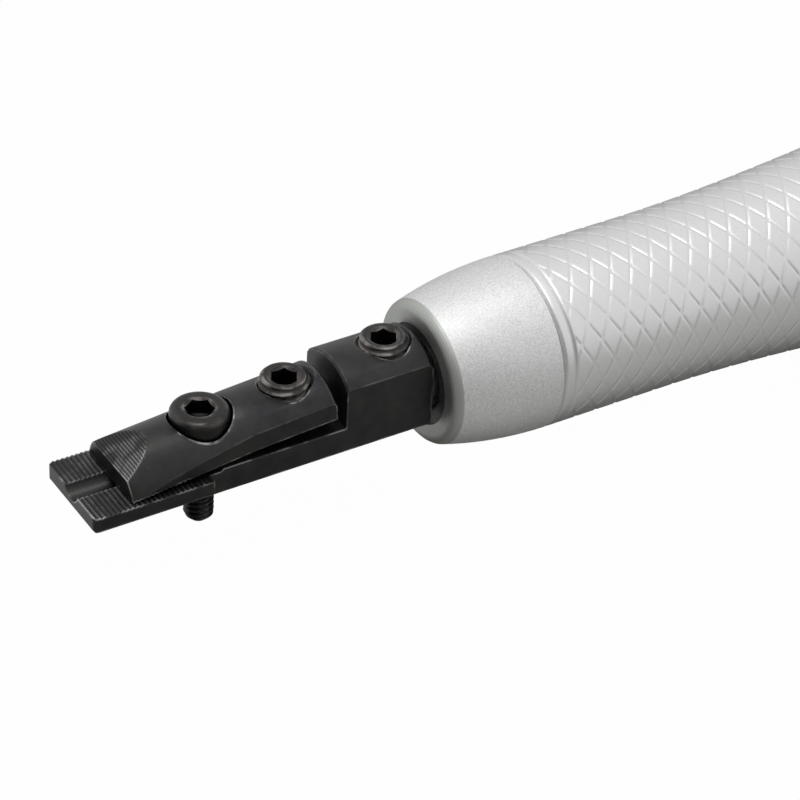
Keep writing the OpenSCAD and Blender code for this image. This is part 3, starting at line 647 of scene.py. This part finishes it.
def ray_share(tree, camera, glossy, transmission):
    """Share of the white background that each kind of ray sees."""
    path = tree.nodes.new("ShaderNodeLightPath")
    seen = reckon(tree, "MULTIPLY", path.outputs["Is Camera Ray"], camera)
    mirrored = reckon(tree, "MULTIPLY", path.outputs["Is Glossy Ray"], glossy)
    passed = reckon(tree, "MULTIPLY", path.outputs["Is Transmission Ray"], transmission)
    return reckon(tree, "MAXIMUM", reckon(tree, "MAXIMUM", seen, mirrored), passed)


def painted_floor_reflection(tree):
    """Painted reflection: share of the floor's white glow that reflections see, little under the
    part and in front of the nose, as painted shade.
    """
    place = tree.nodes.new("ShaderNodeNewGeometry")
    parts = tree.nodes.new("ShaderNodeSeparateXYZ")
    tree.links.new(place.outputs["Position"], parts.inputs["Vector"])
    along, across = parts.outputs["X"], parts.outputs["Y"]
    beside = reckon(tree, "ABSOLUTE", across, 0.0)
    near = ramp(tree, beside, low=0.008, high=0.035, at_low=0.0, at_high=0.32)
    far = ramp(tree, beside, low=0.15, high=0.7, at_low=0.0, at_high=0.35)
    behind_nose = ramp(
        tree, along, low=SEAM_X - 0.034, high=SEAM_X - 0.018, at_low=0.1, at_high=1.0)
    sweep = reckon(tree, "MULTIPLY", reckon(tree, "ADD", near, far), behind_nose)
    far_side = ramp(tree, across, low=0.0, high=0.012, at_low=0.0, at_high=0.8)
    before_nose = ramp(
        tree, along, low=SEAM_X - 0.018, high=SEAM_X - 0.014, at_low=1.0, at_high=0.0)
    behind_tip = reckon(tree, "MULTIPLY", far_side, before_nose)
    return reckon(tree, "MAXIMUM", sweep, behind_tip)


def pale_floor():
    half = 3.0
    pale, near_white = (0.9, 0.9, 0.87, 1), 0.985
    mesh = bpy.data.meshes.new("floor")
    corners = [(half * x, half * y, FLOOR_Z) for x, y in ((-1, -1), (1, -1), (1, 1), (-1, 1))]
    mesh.from_pydata(corners, [], [(0, 1, 2, 3)])
    obj = add_object("floor", mesh)
    mat = bpy.data.materials.new("pale_floor")
    tree = cleared_tree(mat)
    out = tree.nodes.new("ShaderNodeOutputMaterial")
    diffuse = tree.nodes.new("ShaderNodeBsdfDiffuse")
    diffuse.inputs["Color"].default_value = pale
    glow = white_light(tree, "ShaderNodeEmission", 1.0)
    # Reflections see the floor's glow in a painted pattern: painted shade under the part and in
    # front of the nose.
    share = ray_share(tree, near_white, painted_floor_reflection(tree), near_white)
    tree.links.new(mixed(tree, share, diffuse.outputs[0], glow), out.inputs["Surface"])
    mesh.materials.append(mat)


def studio_world():
    """Soft white room whose wall in front of the tip is darker in reflections."""
    towards_wall = (-0.71, -0.61, -0.35)
    room_strength = 0.18
    world = bpy.data.worlds.new("studio")
    bpy.context.scene.world = world
    tree = cleared_tree(world)
    out = tree.nodes.new("ShaderNodeOutputWorld")
    soft = white_light(tree, "ShaderNodeBackground", room_strength)
    white = white_light(tree, "ShaderNodeBackground", 1.0)
    direction = tree.nodes.new("ShaderNodeTexCoord")
    facing = tree.nodes.new("ShaderNodeVectorMath")
    facing.operation = "DOT_PRODUCT"
    tree.links.new(direction.outputs["Generated"], facing.inputs[0])
    facing.inputs[1].default_value = towards_wall
    wall = ramp(tree, facing.outputs["Value"], low=0.32, high=0.50, at_low=1.0, at_high=0.06)
    share = ray_share(tree, 1.0, wall, 1.0)
    tree.links.new(mixed(tree, share, soft, white), out.inputs["Surface"])


def softbox(name, place, size, watts):
    """Rectangular lamp that faces the seam."""
    lamp = bpy.data.lights.new(name, "AREA")
    lamp.shape = "RECTANGLE"
    lamp.size, lamp.size_y = size
    lamp.energy = watts
    obj = add_object(name, lamp)
    obj.location = place
    obj.rotation_euler = (Vector(SEAM) - Vector(place)).to_track_quat("-Z", "Y").to_euler()


def photo_camera():
    """Camera fitted to the photo: its angles, scale and where it shows the seam's centre."""
    azimuth, elevation, roll = (math.radians(a) for a in (-33.0, 36.5, 3.17))
    pixels_per_mm, distance_mm = 8.654, 400.0
    seam_u, seam_v = 516.95, 341.4
    centre, width, sensor = 400.0, 800.0, 36.0
    level_share = math.cos(elevation)
    back = Vector((
        math.sin(azimuth) * level_share, -math.cos(azimuth) * level_share, math.sin(elevation)))
    level = Vector((math.cos(azimuth), math.sin(azimuth), 0))
    upright = back.cross(level)
    right = math.cos(roll) * level + math.sin(roll) * upright
    up = math.cos(roll) * upright - math.sin(roll) * level
    place = (
        Vector(SEAM)
        - right * (seam_u - centre) / pixels_per_mm * MM
        + up * (seam_v - centre) / pixels_per_mm * MM
        + back * distance_mm * MM)
    data = bpy.data.cameras.new("photo_camera")
    data.sensor_fit = "HORIZONTAL"
    data.sensor_width = sensor
    data.lens = pixels_per_mm * distance_mm / width * sensor
    data.clip_start, data.clip_end = 0.01, 20.0
    camera = add_object("photo_camera", data)
    axes = Matrix((right, up, back)).transposed()
    camera.matrix_world = Matrix.Translation(place) @ axes.to_4x4()
    bpy.context.scene.camera = camera


pale_floor()
studio_world()
softbox("key_above", place=(SEAM_X - 0.05, 0.015, 0.55), size=(0.25, 0.20), watts=0.62)
softbox("fill_front", place=(SEAM_X - 0.45, -0.35, 0.15), size=(0.3, 0.3), watts=0.1)
photo_camera()
bpy.context.scene.view_settings.view_transform = "Standard"
